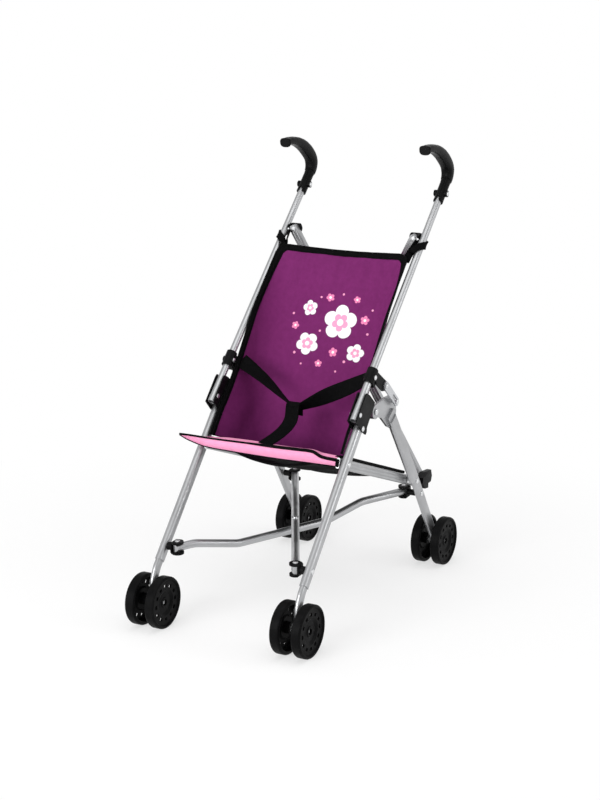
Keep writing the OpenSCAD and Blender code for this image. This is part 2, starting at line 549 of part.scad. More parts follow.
front_leg_l();
front_leg_r();
handle_tube_l();
handle_tube_r();
grip_l();
grip_r();
side_bracket_l();
side_bracket_r();
handle_collar_l();
handle_collar_r();
frame_rivets_l();
frame_rivets_r();
fold_link_l();
fold_link_r();
rear_leg_l();
rear_leg_r();
rear_rivets_l();
rear_rivets_r();
back_clip_l();
back_clip_r();
seat_rail_l();
seat_rail_r();
front_knuckle_l();
front_knuckle_r();
front_knuckle_pin_l();
front_knuckle_pin_r();
rear_knuckle_l();
rear_knuckle_r();
rear_knuckle_pin_l();
rear_knuckle_pin_r();
lower_arm_a();
lower_arm_b();
lower_cross_rivet();
back_knuckle_l();
back_knuckle_r();
back_pin_l();
back_pin_r();
back_arm_c();
back_arm_d();
back_cross_rivet();
front_axle_l();
front_axle_r();
rear_axle_l();
rear_axle_r();
wheel_fl_out();
wheel_fl_in();
wheel_fr_out();
wheel_fr_in();
wheel_rl_out();
wheel_rl_in();
wheel_rr_out();
wheel_rr_in();
backrest_sling();
seat_panel();
seat_lip();
strap_loop_l();
strap_loop_r();
harness_l();
harness_r();
crotch_strap();
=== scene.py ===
# %% [markdown]
# # A folding doll stroller
# The steel tubes, brackets and wheels come from the construction model as finished parts.
# Here they get their materials, and the soft goods are made: a cloth sling with bound edges,
# a pink seat lip, a dark seat cloth and the webbing. Everything is in metres, the wheels stand
# on z = 0, and the front of the stroller faces -Y.

# %% Load the frame
import bpy, bmesh, math
from math import sin, cos, pi, radians
from mathutils import Matrix, Vector, noise


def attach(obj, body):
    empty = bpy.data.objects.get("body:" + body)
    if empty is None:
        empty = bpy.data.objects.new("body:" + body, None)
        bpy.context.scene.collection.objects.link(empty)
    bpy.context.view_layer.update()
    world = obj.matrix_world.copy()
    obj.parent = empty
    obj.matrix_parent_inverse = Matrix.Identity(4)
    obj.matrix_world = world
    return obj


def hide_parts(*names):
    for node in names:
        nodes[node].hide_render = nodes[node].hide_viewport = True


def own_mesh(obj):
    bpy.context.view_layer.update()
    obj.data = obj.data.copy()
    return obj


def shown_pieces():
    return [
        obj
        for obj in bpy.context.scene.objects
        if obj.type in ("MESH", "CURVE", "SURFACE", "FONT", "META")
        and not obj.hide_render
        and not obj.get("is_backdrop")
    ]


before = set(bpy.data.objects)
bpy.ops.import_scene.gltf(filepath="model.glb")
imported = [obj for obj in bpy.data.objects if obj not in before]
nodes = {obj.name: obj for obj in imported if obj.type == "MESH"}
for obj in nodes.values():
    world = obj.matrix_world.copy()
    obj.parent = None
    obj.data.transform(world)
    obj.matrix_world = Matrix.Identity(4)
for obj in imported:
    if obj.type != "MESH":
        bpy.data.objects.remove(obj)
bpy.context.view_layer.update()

# %% [markdown]
# ## Camera
# A long lens from the right front, a little above the seat, shows both side frames and looks
# down into the seat. The camera is placed by angles about a target near the middle of the
# stroller, so that moving it later only means changing a bearing or a height.

# %% Camera
target = Vector((0.0001, -0.0025, 0.2515))
bearing, height, reach = radians(28.46), radians(14.07), 2.198
camera_data = bpy.data.cameras.new("camera")
camera = bpy.data.objects.new("camera", camera_data)
bpy.context.scene.collection.objects.link(camera)
camera.location = target + reach * Vector((sin(bearing) * cos(height), -cos(bearing) * cos(height),
                                           sin(height)))
look = (target - camera.location).to_track_quat("-Z", "Y")
camera.rotation_euler = (look.to_matrix() @ Matrix.Rotation(radians(0.08), 3, "Z")).to_euler()
camera_data.sensor_fit = "VERTICAL"
camera_data.sensor_height = 36
camera_data.lens = 79.7
bpy.context.scene.camera = camera
print("camera at", [round(v, 3) for v in camera.location])

# %% [markdown]
# ## Light and floor
# A pale studio: a wide lamp in front and to the left of the camera lights the cloth and the
# front of the legs, a smaller one on the right draws the bright line down the handle tubes,
# and a wide lamp overhead gives the soft shadow. The floor runs far out and curves up into a
# wall, so the same pale paint stands behind the stroller from every side. It glows white to the
# camera away from the stroller and is lit as plain paint near it, where the shadows fall.

# %% World, lamps and floor
scene = bpy.context.scene
scene.view_settings.view_transform = "Standard"
world = bpy.data.worlds.new("room")
scene.world = world
world.use_nodes = True
room = world.node_tree.nodes["Background"]
room.inputs["Color"].default_value = (1, 1, 1, 1)
room.inputs["Strength"].default_value = 0.66


def soft_lamp(name, place, aim, size, power):
    data = bpy.data.lights.new(name, "AREA")
    data.shape = "RECTANGLE"
    data.size, data.size_y, data.energy = size[0], size[1], power
    lamp = bpy.data.objects.new(name, data)
    scene.collection.objects.link(lamp)
    lamp.location = place
    lamp.rotation_euler = (Vector(aim) - Vector(place)).to_track_quat("-Z", "Y").to_euler()


soft_lamp("key_lamp", (-0.4, -2.1, 0.85), (0, 0, 0.26), (1.1, 0.8), 26)
soft_lamp("side_lamp", (1.8, 0.5, 0.85), (0, 0, 0.28), (0.5, 1.2), 6)
soft_lamp("top_lamp", (0.1, -0.4, 2.4), (0, 0, 0.1), (2.0, 2.0), 15)

bm = bmesh.new()
profile = [(0.0, 0.0), (6.0, 0.0), (24.0, 0.0), (29.0, 0.8), (32.0, 3.2), (33.0, 7.0), (33.2, 12.0)]
verts = [bm.verts.new((r, 0, z)) for r, z in profile]
edges = [bm.edges.new(pair) for pair in zip(verts, verts[1:])]
bmesh.ops.spin(bm, geom=verts + edges, cent=(0, 0, 0), axis=(0, 0, 1), angle=2 * pi, steps=64,
               use_merge=True)
bmesh.ops.remove_doubles(bm, verts=bm.verts, dist=1e-5)
bmesh.ops.recalc_face_normals(bm, faces=bm.faces)
floor_mesh = bpy.data.meshes.new("floor")
bm.to_mesh(floor_mesh)
bm.free()
if floor_mesh.polygons[0].normal.z < 0:
    floor_mesh.flip_normals()
floor = bpy.data.objects.new("floor", floor_mesh)
scene.collection.objects.link(floor)
floor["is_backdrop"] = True
floor_paint = bpy.data.materials.new("pale_floor")
floor_paint.use_nodes = True
ft = floor_paint.node_tree
paint = ft.nodes["Principled BSDF"]
paint.inputs["Base Color"].default_value = (0.94, 0.94, 0.94, 1)
paint.inputs["Roughness"].default_value = 0.9
paint.inputs["Specular IOR Level"].default_value = 0.1
white = ft.nodes.new("ShaderNodeEmission")
white.inputs["Color"].default_value = (1, 1, 1, 1)
white.inputs["Strength"].default_value = 1.0
floor_place = ft.nodes.new("ShaderNodeTexCoord")
away = ft.nodes.new("ShaderNodeVectorMath")
away.operation = "LENGTH"
ft.links.new(floor_place.outputs["Object"], away.inputs[0])
fade = ft.nodes.new("ShaderNodeMapRange")
fade.interpolation_type = "SMOOTHSTEP"
for label, value in (("From Min", 0.22), ("From Max", 0.75), ("To Min", 0.6), ("To Max", 1.0)):
    fade.inputs[label].default_value = value
ft.links.new(away.outputs["Value"], fade.inputs["Value"])
ray = ft.nodes.new("ShaderNodeLightPath")
seen = ft.nodes.new("ShaderNodeMath")
seen.operation, seen.use_clamp = "ADD", True
ft.links.new(ray.outputs["Is Camera Ray"], seen.inputs[0])
ft.links.new(ray.outputs["Is Glossy Ray"], seen.inputs[1])
through = ft.nodes.new("ShaderNodeMath")
through.operation, through.use_clamp = "ADD", True
ft.links.new(seen.outputs[0], through.inputs[0])
ft.links.new(ray.outputs["Is Transmission Ray"], through.inputs[1])
glow = ft.nodes.new("ShaderNodeMath")
glow.operation = "MULTIPLY"
ft.links.new(through.outputs[0], glow.inputs[0])
ft.links.new(fade.outputs["Result"], glow.inputs[1])
mix_floor = ft.nodes.new("ShaderNodeMixShader")
ft.links.new(glow.outputs[0], mix_floor.inputs["Fac"])
ft.links.new(paint.outputs[0], mix_floor.inputs[1])
ft.links.new(white.outputs[0], mix_floor.inputs[2])
ft.links.new(mix_floor.outputs[0], ft.nodes["Material Output"].inputs["Surface"])
floor_mesh.materials.append(floor_paint)

# %% [markdown]
# ## Materials
# Each finish is one small node tree built by a function. All of them read object coordinates,
# which run in metres here, so a grain of 0.3 mm is a noise scale of about 3000.


# %% Material helpers
def finish(name, colour, rough, metallic=0.0, gloss=0.5):
    """A new material, its tree, its shader and its object coordinates."""
    mat = bpy.data.materials.new(name)
    mat.use_nodes = True
    tree = mat.node_tree
    shader = tree.nodes["Principled BSDF"]
    shader.inputs["Base Color"].default_value = (*colour, 1)
    shader.inputs["Roughness"].default_value = rough
    shader.inputs["Metallic"].default_value = metallic
    shader.inputs["Specular IOR Level"].default_value = gloss
    place = tree.nodes.new("ShaderNodeTexCoord").outputs["Object"]
    return mat, tree, shader, place


def noise_at(tree, place, scale, detail=3.0, rough=0.5):
    n = tree.nodes.new("ShaderNodeTexNoise")
    n.inputs["Scale"].default_value = scale
    n.inputs["Detail"].default_value = detail
    n.inputs["Roughness"].default_value = rough
    tree.links.new(place, n.inputs["Vector"])
    return n.outputs["Fac"]


def spread(tree, value, low, high, start=0.0, stop=1.0):
    """Maps a value from start..stop to low..high."""
    m = tree.nodes.new("ShaderNodeMapRange")
    m.inputs["From Min"].default_value, m.inputs["From Max"].default_value = start, stop
    m.inputs["To Min"].default_value, m.inputs["To Max"].default_value = low, high
    tree.links.new(value, m.inputs["Value"])
    return m.outputs["Result"]


def tint(tree, value, first, second):
    mix = tree.nodes.new("ShaderNodeMix")
    mix.data_type = "RGBA"
    mix.inputs["A"].default_value = (*first, 1)
    mix.inputs["B"].default_value = (*second, 1)
    tree.links.new(value, mix.inputs["Factor"])
    return mix.outputs["Result"]


def bump(tree, height, depth, strength=1.0, under=None):
    b = tree.nodes.new("ShaderNodeBump")
    b.inputs["Distance"].default_value = depth
    b.inputs["Strength"].default_value = strength
    tree.links.new(height, b.inputs["Height"])
    if under:
        tree.links.new(under, b.inputs["Normal"])
    return b.outputs["Normal"]


# %% [markdown]
# ### Silver tube
# The tubes are powder-coated or plated steel: bright grey, softly glossy, with faint clouds of
# roughness where hands and packing rubbed them.


# %% Silver tube finish
def silver_tube(name="silver_tube", colour=(0.46, 0.465, 0.475), rough=0.34):
    mat, tree, shader, place = finish(name, colour, rough, 0.9)
    clouds = noise_at(tree, place, 45, 4)
    tree.links.new(spread(tree, clouds, rough - 0.06, rough + 0.1, 0.3, 0.7),
                   shader.inputs["Roughness"])
    tone = noise_at(tree, place, 20, 2)
    dark = tuple(c * 0.9 for c in colour)
    tree.links.new(tint(tree, spread(tree, tone, 0, 1, 0.35, 0.65), dark, colour),
                   shader.inputs["Base Color"])
    return mat


silver = silver_tube()
rivet_steel = silver_tube("rivet_steel", (0.72, 0.73, 0.74), 0.26)
plate_steel = silver_tube("plate_steel", (0.62, 0.63, 0.65), 0.3)


# %% [markdown]
# ### Black plastics
# Three black plastics differ only in gloss and grain: the moulded brackets are satin with a
# spark-eroded grain, the grips are smoother, and the wheels are dull with scuffed treads.


# %% Black plastic finish
def moulded(name, colour, rough, grain, depth, gloss, scuff=0.0):
    mat, tree, shader, place = finish(name, colour, rough, 0, gloss)
    cloud = noise_at(tree, place, 60, 4)
    tree.links.new(spread(tree, cloud, rough - 0.07, rough + 0.09, 0.3, 0.7),
                   shader.inputs["Roughness"])
    pale = tuple(min(1, c * 1.9 + 0.02 * scuff) for c in colour)
    tree.links.new(tint(tree, spread(tree, cloud, 0, 1, 0.45, 0.8), colour, pale),
                   shader.inputs["Base Color"])
    fine = noise_at(tree, place, grain, 3, 0.6)
    tree.links.new(bump(tree, fine, depth, 0.6), shader.inputs["Normal"])
    return mat


bracket_black = moulded("bracket_black", (0.004, 0.004, 0.0043), 0.4, 2600, 0.00004, 0.07)
grip_black = moulded("grip_black", (0.004, 0.004, 0.0043), 0.34, 1500, 0.00002, 0.06)
wheel_black = moulded("wheel_black", (0.003, 0.003, 0.0032), 0.45, 2200, 0.00006, 0.05, 0.1)

# %% [markdown]
# Every construction node gets one of these finishes through its material slots.

# %% Dress the construction nodes
black_nodes = ("side_bracket", "handle_collar", "back_clip", "front_knuckle_", "rear_knuckle_",
               "back_knuckle")
bright_nodes = ("frame_rivets", "rear_rivets", "front_axle", "rear_axle", "lower_cross",
                "back_cross", "front_knuckle_pin", "rear_knuckle_pin", "back_pin")
for name, node in nodes.items():
    if name.startswith("wheel"):
        mat = wheel_black
    elif name.startswith("grip"):
        mat = grip_black
    elif name.startswith(bright_nodes):
        mat = rivet_steel
    elif name.startswith("fold_link"):
        mat = plate_steel
    elif name.startswith(black_nodes):
        mat = bracket_black
    else:
        mat = silver
    node.data.materials.clear()
    node.data.materials.append(mat)

# %% [markdown]
# ## Places and curves
# The cloth hangs between points of the frame. They are written as in the construction drawing:
# millimetres across from the middle, back from the drawing's start line, and up from the floor.


# %% Curve helpers
def mm(x, y, z):
    """A point of the construction drawing, in metres in the model's frame."""
    return Vector((x, y - 105, z)) / 1000


def along(points, t):
    """The place a share t of the way along a smooth curve through the points."""
    lengths = [(b - a).length for a, b in zip(points, points[1:])]
    d, i = min(max(t, 0), 1) * sum(lengths), 0
    while i < len(lengths) - 1 and d > lengths[i]:
        d -= lengths[i]
        i += 1
    f = d / lengths[i]
    p1, p2 = points[i], points[i + 1]
    p0 = points[i - 1] if i else 2 * p1 - p2
    p3 = points[i + 2] if i + 2 < len(points) else 2 * p2 - p1
    return 0.5 * (2 * p1 + (p2 - p0) * f + (2 * p0 - 5 * p1 + 4 * p2 - p3) * f * f
                  + (3 * p1 - p0 - 3 * p2 + p3) * f ** 3)


def ease(t):
    t = min(max(t, 0), 1)
    return t * t * (3 - 2 * t)


# %% [markdown]
# ## Cloth as a moved grid
# A woven panel starts as a flat grid. Every vertex is moved to its place on the hung cloth, and
# its flat position is kept as the UV map in metres, so the weave and print follow the cloth as
# they do in real life, whatever shape it takes. A Solidify then gives the cloth its thickness.


# %% Sheet and tape makers
def add_piece(name, bm, mat):
    mesh = bpy.data.meshes.new(name)
    bm.to_mesh(mesh)
    bm.free()
    for face in mesh.polygons:
        face.use_smooth = True
    mesh.materials.append(mat)
    piece = bpy.data.objects.new(name, mesh)
    scene.collection.objects.link(piece)
    return piece


def cloth_grid(across, down, spot, flat):
    """A grid moved to spot(u, v), with flat(u, v) as its UV; u and v run from 0 to 1."""
    bm = bmesh.new()
    bmesh.ops.create_grid(bm, x_segments=across, y_segments=down, size=0.5)
    uv = bm.loops.layers.uv.new("cloth")
    for face in bm.faces:
        for corner in face.loops:
            corner[uv].uv = flat(corner.vert.co.x + 0.5, corner.vert.co.y + 0.5)
    for vert in bm.verts:
        vert.co = spot(vert.co.x + 0.5, vert.co.y + 0.5)
    bmesh.ops.recalc_face_normals(bm, faces=bm.faces)
    return bm


def settle(piece):
    """Applies the piece's modifiers."""
    bpy.context.view_layer.update()
    graph = bpy.context.evaluated_depsgraph_get()
    mesh = bpy.data.meshes.new_from_object(piece.evaluated_get(graph))
    piece.modifiers.clear()
    piece.data = mesh
    return piece


def thicken(piece, depth, rim=0.0):
    solid = piece.modifiers.new("thickness", "SOLIDIFY")
    solid.thickness, solid.offset = depth, 0.0
    solid.use_even_offset = True
    if rim:
        soft = piece.modifiers.new("rim", "BEVEL")
        soft.width, soft.segments, soft.limit_method = rim, 2, "ANGLE"
        soft.angle_limit = radians(50)
    return settle(piece)


def carry(name, across, down, spot, flat, mat):
    """A closed tube as a grid: spot(i, k) is the place of step i and ring point k of down."""
    bm = cloth_grid(across, down, lambda u, v: spot(round(u * across), round(v * down) % down),
                    lambda u, v: flat(round(u * across), round(v * down)))
    bmesh.ops.remove_doubles(bm, verts=bm.verts, dist=1e-7)
    open_edges = [edge for edge in bm.edges if edge.is_boundary]
    if open_edges:
        bmesh.ops.holes_fill(bm, edges=open_edges, sides=0)
    bmesh.ops.recalc_face_normals(bm, faces=bm.faces)
    return add_piece(name, bm, mat)


def walked(spots):
    """How far along each place of a line is."""
    walk = [0.0]
    for a, b in zip(spots, spots[1:]):
        walk.append(walk[-1] + (b - a).length)
    return walk


def strap_ring(width, depth):
    """The section of a flat strap with eased edges, as (across, up) pairs."""
    w, d = width / 2, depth / 2
    side = [(w - d * 0.6, d), (w - d * 0.15, d * 0.75), (w, 0), (w - d * 0.15, -d * 0.75),
            (w - d * 0.6, -d)]
    middle = [(w * s, -d) for s in (0.6, 0.2, -0.2, -0.6)]
    return side + middle + [(-a, -b) for a, b in side] + [(-a, -b) for a, b in middle]


def folded_ring(width, depth):
    """A folded tape's section as (inward, up) pairs: its fold stands 1 mm outside the edge, and
    two grooves show where it is stitched."""
    d = depth / 2
    groove = 0.86 * d
    lip = [(-0.001, 0), (-0.0007, 0.7 * d), (0.0002, d),
           (0.16 * width, d), (0.17 * width, groove), (0.19 * width, groove), (0.2 * width, d),
           (0.8 * width, d), (0.81 * width, groove), (0.83 * width, groove), (0.84 * width, d),
           (0.95 * width, 0.9 * d), (width, 0.5 * d)]
    return lip + [(a, -b) for a, b in lip[:0:-1]]


def hem(name, at, path, width, depth, mat):
    """A tape folded over a sheet's edge. at(s, d) is the sheet, and path holds the edge as
    (s, d, inward s, inward d) in the cloth's own metres, so the tape follows every fold."""
    ring = folded_ring(width, depth)

    def inside(i, q):
        s, d, a, b = path[i]
        if q >= 0:
            return at(s + a * q, d + b * q)
        edge = at(s, d)
        return edge + (edge - at(s + a * 0.001, d + b * 0.001)) * (-q / 0.001)

    rows = []
    for i in range(len(path)):
        j, k = min(i + 1, len(path) - 1), max(i - 1, 0)
        row = []
        for q, f in ring:
            run = inside(j, q) - inside(k, q)
            way = inside(i, q + 0.0012) - inside(i, q)
            row.append(inside(i, q) + run.cross(way).normalized() * f)
        rows.append(row)
    walk = walked([row[0] for row in rows])
    girth = walked([Vector((q, f, 0)) for q, f in ring + ring[:1]])
    piece = carry(name, len(path) - 1, len(ring), lambda i, k: rows[i][k],
                  lambda i, k: (girth[k], walk[i]), mat)
    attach(piece, "frame_left")
    return piece


# %% [markdown]
# ### Woven cloth and webbing
# The sling and lip are a light polyester satin with a close weave, and the binding and straps
# are ribbed black polypropylene. Both weaves are drawn with sine waves on the UV map, which is
# in metres, and mottled by noise so that large areas don't look printed.


# %% Cloth finishes
def wave_of(tree, value, pitch, phase=0.0):
    """A sine of the value with that pitch, from -1 to 1."""
    turn = tree.nodes.new("ShaderNodeMath")
    turn.operation = "MULTIPLY_ADD"
    turn.inputs[1].default_value, turn.inputs[2].default_value = 2 * pi / pitch, phase
    tree.links.new(value, turn.inputs[0])
    wave = tree.nodes.new("ShaderNodeMath")
    wave.operation = "SINE"
    tree.links.new(turn.outputs[0], wave.inputs[0])
    return wave.outputs[0]


def sums(tree, operation, first, second):
    node = tree.nodes.new("ShaderNodeMath")
    node.operation = operation
    for i, value in enumerate((first, second)):
        if isinstance(value, (int, float)):
            node.inputs[i].default_value = value
        else:
            tree.links.new(value, node.inputs[i])
    return node.outputs[0]


def cloth_place(tree):
    uv = tree.nodes.new("ShaderNodeUVMap")
    uv.uv_map = "cloth"
    split = tree.nodes.new("ShaderNodeSeparateXYZ")
    tree.links.new(uv.outputs["UV"], split.inputs[0])
    return split.outputs["X"], split.outputs["Y"]


def woven(name, colour, deep, rough=0.72, pitch=0.00055, printed=None, gloss=0.04):
    mat, tree, shader, place = finish(name, colour, rough, 0, gloss)
    u, v = cloth_place(tree)
    weave = sums(tree, "MULTIPLY", wave_of(tree, u, pitch), wave_of(tree, v, pitch))
    mottle = noise_at(tree, place, 160, 5, 0.65)
    broad = noise_at(tree, place, 14, 2)
    blend_share = sums(tree, "ADD", spread(tree, mottle, 0, 0.7, 0.3, 0.7),
                       spread(tree, broad, 0, 0.3, 0.3, 0.7))
    colour_out = tint(tree, blend_share, deep, colour)
    if printed:
        colour_out = printed(tree, u, v, colour_out)
    tree.links.new(colour_out, shader.inputs["Base Color"])
    soft = bump(tree, noise_at(tree, place, 260, 3), 0.0002, 0.25)
    tree.links.new(bump(tree, weave, 0.00006, 0.5, soft), shader.inputs["Normal"])
    return mat


def webbing(name, colour=(0.0025, 0.0025, 0.0027), rib=0.0014):
    mat, tree, shader, place = finish(name, colour, 0.6, 0, 0.03)
    u, v = cloth_place(tree)
    ribs = sums(tree, "MULTIPLY", wave_of(tree, v, rib), wave_of(tree, u, 0.0009, 0.6))
    mottle = noise_at(tree, place, 300, 4)
    pale = tuple(c * 1.8 for c in colour)
    tone = tint(tree, spread(tree, mottle, 0, 0.8, 0.4, 0.75), colour, pale)
    tree.links.new(tone, shader.inputs["Base Color"])
    tree.links.new(bump(tree, ribs, 0.00012, 0.7), shader.inputs["Normal"])
    return mat


def tint_by(tree, share, under, over):
    """The colour under with over laid on it where share is 1."""
    mix = tree.nodes.new("ShaderNodeMix")
    mix.data_type = "RGBA"
    tree.links.new(under, mix.inputs["A"])
    mix.inputs["B"].default_value = (*over, 1)
    tree.links.new(share, mix.inputs["Factor"])
    return mix.outputs["Result"]


# %% [markdown]
# ### Printed blossoms
# The sling carries a loose spray of white and pink blossoms with small dots. Each blossom is a
# circle whose radius swells with the angle, which gives round petals, and it is worked out from
# the UV map, so the print bends with the cloth.


# %% The print
def blossom_group():
    """A node group: the share of a petalled disc at a centre, with a size, petals and a turn."""
    group = bpy.data.node_groups.new("petalled_disc", "ShaderNodeTree")
    face = group.interface
    for label in ("U", "V", "Centre U", "Centre V", "Size", "Petals", "Turn", "Lobe"):
        face.new_socket(label, in_out="INPUT", socket_type="NodeSocketFloat")
    face.new_socket("Share", in_out="OUTPUT", socket_type="NodeSocketFloat")
    start = group.nodes.new("NodeGroupInput").outputs
    stop = group.nodes.new("NodeGroupOutput")
    du = sums(group, "SUBTRACT", start["U"], start["Centre U"])
    dv = sums(group, "SUBTRACT", start["V"], start["Centre V"])
    away = sums(group, "SQRT", sums(group, "ADD", sums(group, "MULTIPLY", du, du),
                                    sums(group, "MULTIPLY", dv, dv)), 0)
    angle = sums(group, "ADD", sums(group, "ARCTAN2", dv, du), start["Turn"])
    half_turns = sums(group, "MULTIPLY", angle, sums(group, "MULTIPLY", start["Petals"], 0.5))
    lobe = sums(group, "ABSOLUTE", sums(group, "COSINE", half_turns, 0), 0)
    swell = sums(group, "SUBTRACT", 1.0, sums(group, "MULTIPLY", start["Lobe"],
                 sums(group, "SUBTRACT", 1.0, sums(group, "POWER", lobe, 0.6))))
    edge = sums(group, "SUBTRACT", sums(group, "MULTIPLY", start["Size"], swell), away)
    share = spread(group, edge, 0, 1, -0.00012, 0.00012)
    group.links.new(share, stop.inputs["Share"])
    return group


petals = blossom_group()
petal_count = 5
print_white, print_pink, print_rose = (0.93, 0.92, 0.93), (0.92, 0.36, 0.56), (0.86, 0.24, 0.46)


def blossom_print(tree, u, v, under):
    """Lays the blossoms over the cloth's colour."""
    def disc(cu, cv, size, turn=0.0, lobe=0.34):
        g = tree.nodes.new("ShaderNodeGroup")
        g.node_tree = petals
        tree.links.new(u, g.inputs["U"])
        tree.links.new(v, g.inputs["V"])
        for label, value in (("Centre U", cu), ("Centre V", cv), ("Size", size),
                             ("Petals", petal_count), ("Turn", turn), ("Lobe", lobe)):
            g.inputs[label].default_value = value
        return g.outputs["Share"]

    def lay(layer, colour):
        nonlocal under
        under = tint_by(tree, layer, under, colour)

    # large blossoms: across and down from the middle of the top edge
    for cu, cv, size, turn in ((0.014, 0.098, 0.0235, 0.3), (-0.026, 0.131, 0.0155, 0.9),
                               (0.043, 0.137, 0.0125, 0.1), (-0.031, 0.083, 0.0105, 0.5)):
        lay(disc(cu, cv, size, turn), print_white)
        lay(disc(cu, cv, size * 0.52, turn + pi / petal_count, 0.4), print_pink)
        lay(disc(cu, cv, size * 0.2, turn, 0.0), print_white)
    for cu, cv, size, turn in ((0.048, 0.092, 0.0062, 0.2), (-0.006, 0.066, 0.0056, 0.8),
                               (0.012, 0.139, 0.0064, 0.5), (-0.048, 0.108, 0.0054, 0.0),
                               (-0.006, 0.156, 0.005, 0.4), (0.033, 0.066, 0.0048, 0.6)):
        lay(disc(cu, cv, size, turn, 0.42), print_rose)
        lay(disc(cu, cv, size * 0.3, 0, 0), print_white)
    for cu, cv, size in ((0.055, 0.11, 0.0016), (0.03, 0.15, 0.0018), (-0.012, 0.112, 0.0015),
                         (-0.042, 0.145, 0.0018), (-0.018, 0.067, 0.0014), (0.012, 0.06, 0.0016),
                         (0.056, 0.078, 0.0014), (-0.054, 0.092, 0.0016), (0.02, 0.164, 0.0014),
                         (-0.03, 0.159, 0.0013)):
        lay(disc(cu, cv, size, 0, 0), print_pink)
    return under


purple_cloth = woven("purple_cloth", (0.19, 0.024, 0.138), (0.15, 0.018, 0.108), 0.7,
                     printed=blossom_print)
pink_cloth = woven("pink_cloth", (0.95, 0.38, 0.6), (0.88, 0.32, 0.53), 0.68)
black_cloth = woven("black_cloth", (0.005, 0.005, 0.0055), (0.0035, 0.0035, 0.004), 0.8)
black_webbing = webbing("black_webbing")
black_tape = webbing("black_tape", (0.003, 0.003, 0.0032), 0.0011)

# %% [markdown]
# ## The sling
# The back cloth hangs between the two side frames like a hammock. Its side edges run down the
# handle tubes, and the cloth drops back from them as two wings and then crosses the back. The
# cross-section is drawn as half a straight back, a round corner and a straight wing, and the
# corner's size fades to nothing at the top edge, where the cloth is stretched flat.

# %% Sling shape
edge_line = [mm(92.5, 217, 424.6), mm(92.5, 196, 402.3), mm(92.5, 172, 377), mm(92.5, 148, 350),
             mm(92.3, 125, 318), mm(91.7, 101, 286), mm(91.2, 79, 260), mm(91.2, 56, 236),
             mm(91.6, 37, 211)]
back_line = [mm(86.5, 218, 424.6), mm(82, 190, 358), mm(79.5, 163, 296), mm(70, 142, 232),
             mm(59, 129, 173)]
sling_length = walked([along(edge_line, i / 60) for i in range(61)])[-1]
corner_round = 0.0125


def sling_base(s, v):
    """The smooth sling s metres across from its middle, v from 0 at the top to 1 at the foot,
    with the half width of the cloth there."""
    side, s = (-1 if s < 0 else 1), abs(s)
    e, b = along(edge_line, v), along(back_line, v)
    wing = e - b
    reach = wing.length
    r = min(0.8 * reach, 0.027)
    flat_end, turn_end = b.x - r, b.x - r + pi / 2 * r
    half = turn_end + max(reach - r, 0)
    if s <= flat_end:
        p = Vector((s, b.y, b.z))
    elif s <= turn_end:
        turn = (s - flat_end) / r
        step = wing / reach * r * (1 - cos(turn))
        p = Vector((flat_end + r * sin(turn) + step.x, b.y + step.y, b.z + step.z))
    else:
        p = b + wing / reach * (s - turn_end + r)
    return Vector((side * p.x, p.y, p.z)), half


def sling_folds(u, v):
    """How far the cloth stands forward of the smooth sling, in metres."""
    d = -0.003 * sin(pi * min(v * 1.1, 1)) * (1 - u * u)
    for place, lean, wide, deep, fade in (
            (-0.3, 0.16, 0.1, 0.003, 0.5), (0.02, 0.02, 0.08, -0.0022, 0.45),
            (0.36, -0.3, 0.09, 0.0026, 0.42), (-0.62, 0.3, 0.08, -0.0016, 0.4),
            (0.66, -0.22, 0.07, -0.0014, 0.5)):
        d += (deep * math.exp(-((u - place - lean * v) / wide) ** 2)
              * math.exp(-(v / fade) ** 2) * min(1, v / 0.05))
    low = ease((v - 0.5) / 0.35)
    for place, lean, deep in ((0.05, 0.35, 0.0022), (0.32, 0.6, -0.002), (-0.3, -0.3, 0.0018),
                              (-0.56, -0.5, -0.0015)):
        d += low * deep * math.exp(-((u - place - lean * (v - 0.8)) / 0.1) ** 2)
    p = Vector((u * 2.1, v * 3.2, 0.3))
    return d + 0.0009 * noise.noise(p * 1.7) + 0.0004 * noise.noise(p * 5.1)


def sling_at(s, d):
    """The sling's place s metres across from its middle and d metres down from its top edge."""
    v = min(max(d / sling_length, 0), 1)
    p, half = sling_base(s, v)
    u, h = s / half, 0.0008
    run = sling_base(s + h, v)[0] - sling_base(s - h, v)[0]
    fall = sling_base(s, min(v + 0.004, 1))[0] - sling_base(s, max(v - 0.004, 0))[0]
    face = run.cross(fall).normalized()
    if face.y > 0:
        face = -face
    hold = ease(min(max(1 - abs(u), 0), 0.14) / 0.14)
    sag = 0.0026 * (1 - u * u) * math.exp(-v / 0.12)
    return p + face * sling_folds(u, v) * hold - Vector((0, 0, sag))


def sling_cell(u, v):
    """Grid place (u, v) in the cloth's metres, with the top corners cut round."""
    s = (2 * u - 1) * sling_base(0, v)[1]
    near = max(corner_round - (1 - abs(2 * u - 1)) * sling_base(0, 0)[1], 0)
    top = (corner_round - math.sqrt(max(corner_round ** 2 - near ** 2, 0))) / sling_length
    v = top + (1 - top) * v
    return (2 * u - 1) * sling_base(0, v)[1], v * sling_length


bm = cloth_grid(110, 120, lambda u, v: sling_at(*sling_cell(u, v)), sling_cell)
sling = thicken(add_piece("sling_cloth", bm, purple_cloth), 0.0009)
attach(sling, "frame_left")
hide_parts("backrest_sling")
print("sling runs", round(sling_length, 3), "m down its edge")

# %% [markdown]
# ## Binding
# One black tape is folded over the sling's edge: up the left side, round the corner, along the
# top and down the right side. It is placed on the cloth itself at every step, so it takes every
# fold and turns the corners as a sewn tape does, with a groove where each line of stitches runs.

# %% Binding tape
side_path = [(i / 110) for i in range(111)]


def side_edge(t):
    """The right edge below its corner, t from 0 at the corner to 1 at the foot."""
    d = corner_round + (sling_length - corner_round) * t
    return sling_base(0, d / sling_length)[1], d


